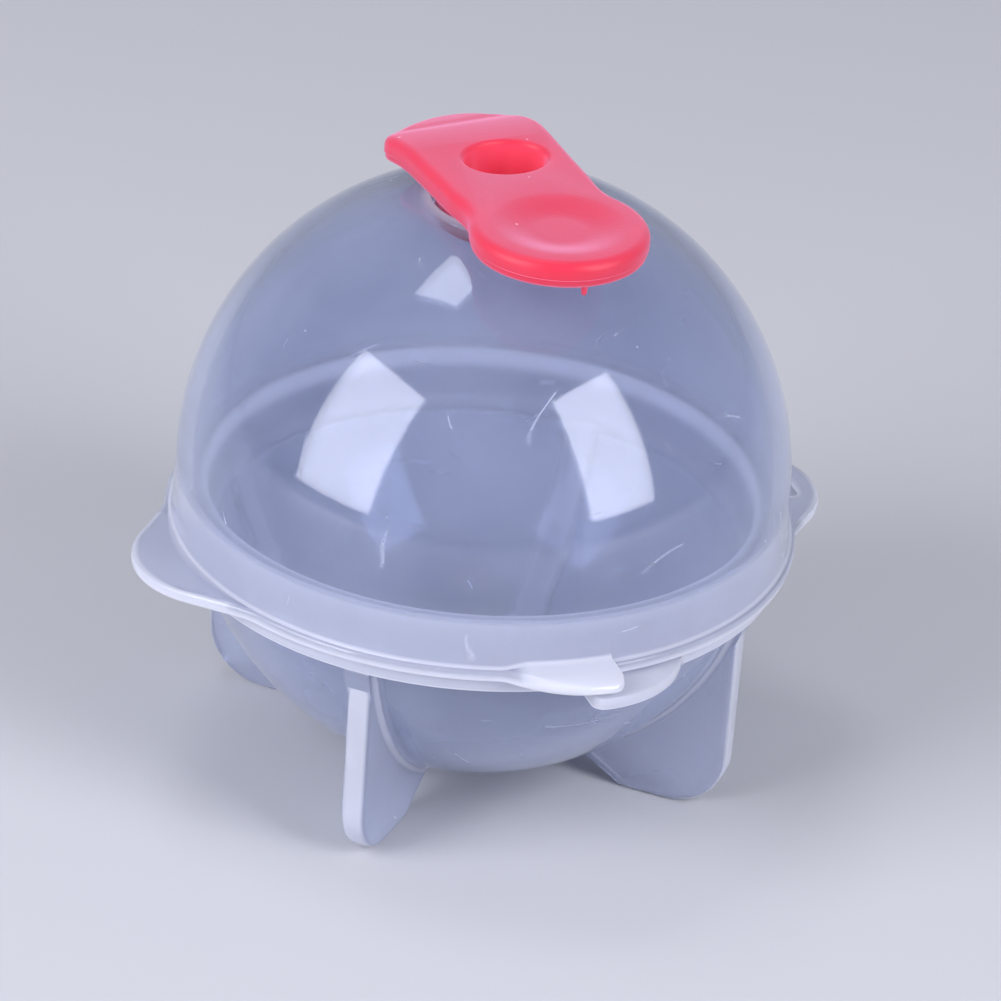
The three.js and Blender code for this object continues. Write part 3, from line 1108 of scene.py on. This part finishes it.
        # Painted highlight on the lip, the collar's edge and the fins' rounded edges and roots, over
        # milky plastic.
        if z > base - 0.3 and radius > self.lip + 0.2:
            lug = 0.75 * ease(radius, self.rim_radius + 0.2, self.rim_radius + 0.6)
            return max(0.7, lug, 1 - ease(z, base + 0.1, base + 0.25))
        if z > self.collar_top - 0.6:
            return 0.85
        if from_centre > outer + 0.15:
            rounded = 0.75 * ease(self.fin / 2 - across, 0.05, 0.35)
            root = 0.5 * ease(across, self.fin / 2 + 0.02, self.fin / 2 + 0.1)
            return max(rounded, root, 0.12)
        if from_centre < self.inner + 0.3 and z > self.fin_bevel[1][1]:
            return 0.6 * (1 - ease(across, self.fin / 2, self.fin / 2 + 0.6))
        return 0.0


@dataclass
class StopperStrip:
    """The silicone strip: plug, hollow over it, thumb dish in the round end, drooping tail."""

    place: Place
    turn: float = 2.6
    top: float = 29.4
    thickness: float = 2.3
    shift: float = 0.8
    round_radius: float = 7.5
    round_at: float = 12.8
    join: float = 115.0
    waist: float = 6.45
    waist_at: float = 4.0
    tail: float = 6.8
    tail_at: float = -8.6
    tail_corners: Point = (1.9, 3.2)
    ridge_at: float = -8.4
    ridge_depth: float = 0.09
    parting: float = 0.75
    flutes: int = 5
    flute_depth: float = 0.6
    oval: Point = (0.84, 1.02)
    splay: float = 0.55
    top_round: float = 0.85
    under_round: float = 0.4
    mouth_round: float = 0.45
    tail_bulge: float = 2.1
    bend_at: float = -3.0
    droop: float = 1.3
    dish: float = 5.0
    dish_depth: float = 0.6
    plug: float = 5.7
    plug_foot: float = 22.8
    hollow: float = 3.6
    hollow_floor: float = 24.0

    def outline(self) -> list[Point]:
        """The strip's plan.

        Returns:
            (along, across) corners in millimetres, anticlockwise, along +X from the plug's axis.
        """
        half = radians(self.join)
        joint = (self.round_at + self.round_radius * cos(half), self.round_radius * sin(half))
        end = arc(self.round_radius, (self.round_at, 0), -self.join, self.join, 56)
        left, right = (self._side(corner, joint, half) for corner in self.tail_corners)
        lower = [(x, -y) for x, y in left]
        ends = [(left[0][0], -left[0][1]), (self.tail_at - 2 * self.tail_bulge, 0), right[0]]
        across = [bezier(ends, i / 16) for i in range(1, 16)]
        return lower + end + list(reversed(right)) + list(reversed(across))

    def _side(self, corner: float, joint: Point, half: float) -> list[Point]:
        """One side of the plan, from the middle of the tail's edge round its corner to the round end.

        Args:
            corner: the tail corner's size.
            joint: where the side runs into the round end.
            half: radians round the end's circle at that point.

        Returns:
            (along, across) corners; the last one stops short of the joint.
        """
        slope = -cos(half) / sin(half)
        lead = (joint[0] - self.waist_at) / 3
        turn_in = [(self.tail_at - corner / 3, self.tail - corner), (self.tail_at, self.tail),
                   (self.tail_at + corner, self.tail)]
        rear = [turn_in[-1], (self.waist_at - lead, self.waist), (self.waist_at, self.waist)]
        front = [(self.waist_at, self.waist), (self.waist_at + lead, self.waist),
                 (joint[0] - lead, joint[1] - slope * lead), joint]
        curves = ((turn_in, 10), (rear, 10), (front, 12))
        return [bezier(curve, i / steps) for curve, steps in curves for i in range(steps)]

    def build(self) -> bpy.types.Object:
        """Model the stopper.

        Returns:
            The finished stopper, at the origin.
        """
        plan = self.outline()
        bottom = self.top - self.thickness
        strip = slab("stopper_strip", [Vector((x, y - self.shift, bottom)) * MM for x, y in plan],
                     Vector((0, 0, self.thickness * MM)))
        level = (bottom * MM, self.top * MM)
        round_edges(strip, self.top_round, 7, lambda e: self._rim(e, level[1]))
        round_edges(strip, self.under_round, 4, lambda e: self._rim(e, level[0]))
        self.part(strip)
        self.add_plug(strip)
        self.cut_hollows(strip)
        self.bend_tail(strip)
        turn = Matrix.Rotation(radians(self.turn - 90), 4, "Z")
        strip.data.transform(Matrix.Translation(self.place.axis) @ turn)
        tidy(strip)
        smooth(strip, RUBBER_CREASE)
        # Painted light inside the hollow.
        mark(strip, PAINTED_HOLLOW_LIGHT, self.painted_hollow_light_at)
        return strip

    def painted_hollow_light_at(self, point: Vector) -> float:
        """How thin the rubber is at a point.

        Args:
            point: a corner of the finished strip.

        Returns:
            1 inside the hollow, whose wall is painted brighter for light let through it, fading to 0 at
            its mouth.
        """
        radius, z, _ = self.place.polar(point)
        inside = 1 - ease(radius, self.hollow + 0.1, self.hollow + 0.6)
        return inside * (1 - ease(z, self.top - 0.8, self.top - 0.1))

    @staticmethod
    def _rim(edge: bmesh.types.BMEdge, level: float) -> bool:
        """Whether both of an edge's corners lie at a level."""
        return all(abs(corner.co.z - level) < 0.01 * MM for corner in edge.verts)

    def part(self, strip: bpy.types.Object) -> None:
        """Raise the thin line where the two halves of the tool met, and draw the side in below it.

        Args:
            strip: the strip, which lies along +X.
        """
        line = (self.top - self.thickness + self.parting) * MM
        with editing(strip):
            for step in (-0.06, 0.0, 0.06):
                bpy.ops.mesh.select_all(action="SELECT")
                bpy.ops.mesh.bisect(plane_co=(0, 0, line + step * MM), plane_no=(0, 0, 1))
            mesh = bmesh.from_edit_mesh(strip.data)
            mesh.normal_update()
            pushes = [(corner, Vector((corner.normal.x, corner.normal.y, 0))) for corner in mesh.verts]
            for corner, outward in pushes:
                above = (corner.co.z - line) / MM
                if above < 0.01 and outward.length > 0.3:
                    corner.co += outward.normalized() * MM * (0.05 if above > -0.01 else -0.13)
            bmesh.update_edit_mesh(strip.data)

    def add_plug(self, strip: bpy.types.Object) -> None:
        """Join the plug, with its led-in foot and a soft root, and the moulding nib.

        Args:
            strip: the strip, which lies along +X.
        """
        under = self.top - self.thickness
        profile = [(0, self.plug_foot), (self.plug - 1.0, self.plug_foot),
                   (self.plug - 0.35, self.plug_foot + 0.25), (self.plug, self.plug_foot + 0.9),
                   (self.plug, under - 0.5), (self.plug + 0.12, under - 0.2),
                   (self.plug + 0.45, under + 0.3), (self.plug, under + 1.0), (0, under + 1.0)]
        plug = turned("plug", profile, Vector((0, 0, 0)), ((360.0, 96),), closed=False)
        combine(strip, plug, Cut.JOIN)
        section = [(0, under - 0.85), (0.2, under - 0.8), (0.32, under - 0.1),
                   (0.38, under + 0.5), (0, under + 0.5)]
        along = self.round_at + self.round_radius * 0.9
        tip = Vector((along, self.round_radius * -0.1 - self.shift, 0)) * MM
        combine(strip, turned("nib", section, tip, ((360.0, 16),), closed=False), Cut.JOIN)

    def cut_hollows(self, strip: bpy.types.Object) -> None:
        """Cut the blind hollow with its soft mouth, and the shallow thumb dish.

        Args:
            strip: the strip, which lies along +X.
        """
        lip = self.mouth_round
        mouth = [(self.hollow + lip * (1 - cos(t)), self.top - lip + lip * sin(t))
                 for t in (radians(a) for a in range(0, 91, 15))]
        hollow = [(0, self.hollow_floor), (self.hollow - 0.5, self.hollow_floor),
                  (self.hollow - 0.1, self.hollow_floor + 0.15), (self.hollow, self.hollow_floor + 0.6)]
        hollow += mouth + [(self.hollow + 0.5, self.top + 1), (0, self.top + 1)]
        tool = turned("hollow", hollow, Vector((0, 0, 0)), ((360.0, 120),), closed=False)
        self.flute(tool)
        combine(strip, tool, Cut.TAKE_AWAY)
        reach = self.dish + 0.9
        steps = 18
        bowl = []
        for i in range(steps + 1):
            radius = reach * i / steps
            fall = 1 - ease(radius, self.dish * 0.45, reach)
            bowl.append((radius, self.top + 0.012 - (self.dish_depth + 0.012) * fall))
        bowl += [(reach, self.top + 1), (0, self.top + 1)]
        centre = Vector((self.round_at * MM, -self.shift * MM, 0))
        combine(strip, turned("dish", bowl, centre, ((360.0, 72),), closed=False), Cut.TAKE_AWAY)

    def flute(self, tool: bpy.types.Object) -> None:
        """Make the hollow oval and give its wall soft upright ribs that fade out towards the mouth.

        Args:
            tool: the solid that cuts the hollow.
        """
        for corner in tool.data.vertices:
            fade = 1 - ease(corner.co.z / MM, self.top - 1.8, self.top - 0.6)
            rib = (1 + cos(self.flutes * atan2(corner.co.y, corner.co.x))) / 2
            draw_in = 1 - self.flute_depth / self.hollow * fade * rib ** 2
            corner.co.x *= draw_in * self.oval[0]
            corner.co.y *= draw_in * self.oval[1]

    def bend_tail(self, strip: bpy.types.Object) -> None:
        """Slice the strip across, hang its tail down in a soft curve and press in its grip groove.

        Args:
            strip: the strip, which lies along +X.
        """
        end = self.tail_at - self.tail_bulge
        steps = 22
        with editing(strip):
            for i in range(steps + 1):
                cut = self.bend_at + (end - self.bend_at) * i / (steps + 1)
                bpy.ops.mesh.select_all(action="SELECT")
                bpy.ops.mesh.bisect(plane_co=(cut * MM, 0, 0), plane_no=(1, 0, 0))
            mesh = bmesh.from_edit_mesh(strip.data)
            for corner in mesh.verts:
                if corner.co.z > (self.top - 0.2) * MM:
                    off = (corner.co.x / MM - self.ridge_at) / 0.5
                    corner.co.z -= self.ridge_depth * MM * exp(-off ** 2)
                past = (self.bend_at * MM - corner.co.x) / ((self.bend_at - end) * MM)
                if past > 0:
                    side = corner.co.y / (self.tail * MM)
                    curl = 0.7 + 0.3 * min(1.0, side ** 2) - 0.15 * side
                    corner.co.z -= self.droop * curl * MM * min(past, 1.1) ** 2
                    corner.co.y += self.splay * MM * min(0.0, side) * past ** 2
            bmesh.update_edit_mesh(strip.data)


def bezier(points: Sequence[Point], t: float) -> Point:
    """A point on a smooth curve.

    Args:
        points: the curve's control points.
        t: 0 at the curve's start to 1 at its end.

    Returns:
        The point.
    """
    work = list(points)
    while len(work) > 1:
        work = [(a[0] + (b[0] - a[0]) * t, a[1] + (b[1] - a[1]) * t) for a, b in zip(work, work[1:])]
    return work[0]


@dataclass(frozen=True)
class Dressing:
    """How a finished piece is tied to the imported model."""

    node: str
    body: str
    slot: str

    def put(self, piece: bpy.types.Object, finish: bpy.types.Material) -> None:
        """Give a piece its finish and its body, and let it stand for its node.

        Args:
            piece: the finished piece.
            finish: its material.
        """
        piece.data.materials.clear()
        piece.data.materials.append(finish)
        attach(piece, self.body)
        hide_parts(self.node)
        log.info("%s: %d faces, rides on %s", piece.name, len(piece.data.polygons), self.body)


# ---------------------------------------------------------------- studio


@dataclass(frozen=True)
class Softbox:
    """A rectangular light, placed round the mould and aimed at it.

    Angles are in degrees, lengths in millimetres and the power in watts.
    """

    name: str
    angle: float
    height: float
    distance: float
    size: tuple[float, float]
    power: float
    colour: str = "FFFFFF"


@dataclass
class Studio:
    """Floor, lights and camera. Angles are in degrees and lengths in millimetres."""

    place: Place
    lens: float = 259.4
    eye_angle: float = -23.4
    eye_height: float = 28.33
    eye_distance: float = 618.7
    aim: tuple[float, float, float] = (0.949, -1.956, -2.61)
    roll: float = 4.16
    surround: str = "E4E7F2"
    surround_strength: float = 0.36
    boxes: tuple[Softbox, ...] = (
        Softbox("left_softbox", -78.3, 25.3, 550.0, (330.0, 480.0), 3.4, "F6F6FF"),
        Softbox("right_softbox", 29.4, 27.2, 550.0, (260.0, 450.0), 2.7, "F6F6FF"),
        Softbox("top_softbox", -150.0, 74.0, 600.0, (190.0, 160.0), 0.5, "F4F5FF"),
    )

    def floor(self) -> bpy.types.Object:
        """A wide flat card that lies under the mould.

        Returns:
            The card.
        """
        deselect()
        bpy.ops.mesh.primitive_plane_add(size=4.0, location=(0, 0, 0))
        card = bpy.context.object
        card.name = "floor_card"
        with editing(card):
            bpy.ops.mesh.subdivide(number_cuts=8)
        card.data.materials.append(PaleSweep().make())
        return card

    def round_about(self, angle: float, height: float, distance: float) -> Vector:
        """A point round the mould's middle.

        Args:
            angle: degrees from the front, growing towards +X.
            height: degrees above level.
            distance: millimetres from the middle.

        Returns:
            The point, in metres.
        """
        a, e = radians(angle), radians(height)
        away = Vector((sin(a) * cos(e), -cos(a) * cos(e), sin(e)))
        return self.place.axis + away * distance * MM

    def light(self, box: Softbox) -> None:
        """Hang one softbox.

        Args:
            box: where it hangs and how it shines.
        """
        lamp = bpy.data.lights.new(box.name, "AREA")
        lamp.shape = "RECTANGLE"
        lamp.size, lamp.size_y = (side * MM for side in box.size)
        lamp.energy = box.power
        lamp.color = linear(box.colour)[:3]
        stand = bpy.data.objects.new(box.name, lamp)
        stand.location = self.round_about(box.angle, box.height, box.distance)
        stand.rotation_euler = (self.place.axis - stand.location).to_track_quat("-Z", "Y").to_euler()
        bpy.context.collection.objects.link(stand)

    def sky(self) -> None:
        """A dim, even, slightly cool surround."""
        world = bpy.data.worlds.new("studio_surround")
        world.use_nodes = True
        ground = world.node_tree.nodes["Background"]
        ground.inputs["Color"].default_value = linear(self.surround)
        ground.inputs["Strength"].default_value = self.surround_strength
        bpy.context.scene.world = world
        bpy.context.scene.view_settings.view_transform = "Standard"

    def camera(self) -> None:
        """Stand the camera at its place, aim it, and tip it by its roll."""
        data = bpy.data.cameras.new("camera")
        data.sensor_width = 36.0
        data.lens = self.lens
        data.clip_start, data.clip_end = 0.01, 20.0
        eye = bpy.data.objects.new("camera", data)
        bpy.context.collection.objects.link(eye)
        eye.location = self.round_about(self.eye_angle, self.eye_height, self.eye_distance)
        look = (self.place.at(*self.aim) - eye.location).to_track_quat("-Z", "Y").to_matrix()
        eye.rotation_euler = (look @ Matrix.Rotation(radians(self.roll), 3, "Z")).to_euler()
        bpy.context.scene.camera = eye

    def build(self) -> None:
        """Set the whole studio up."""
        self.floor()
        self.sky()
        for box in self.boxes:
            self.light(box)
        self.camera()


def main() -> None:
    """Build the mould and its studio."""
    logging.basicConfig(level=logging.INFO, format="%(name)s: %(message)s")
    place = Place.read()
    lid_finish = MilkyPolypropylene("clear_polypropylene_lid", wall_tint="C8D1EA",
                                    cloud_tint="D5DCF1", clearness=0.88).make()
    bowl_finish = MilkyPolypropylene("clear_polypropylene_bowl", clearness=0.74).make()
    rubber = CoralSilicone().make()
    Dressing("dome_lid", "lid", "lid_plastic").put(DomeLid(place).build(), lid_finish)
    Dressing("bowl_base", "bowl", "bowl_plastic").put(FootedBowl(place).build(), bowl_finish)
    Dressing("stopper", "stopper", "stopper_silicone").put(StopperStrip(place).build(), rubber)
    Studio(place).build()


if __name__ == "__main__":
    main()
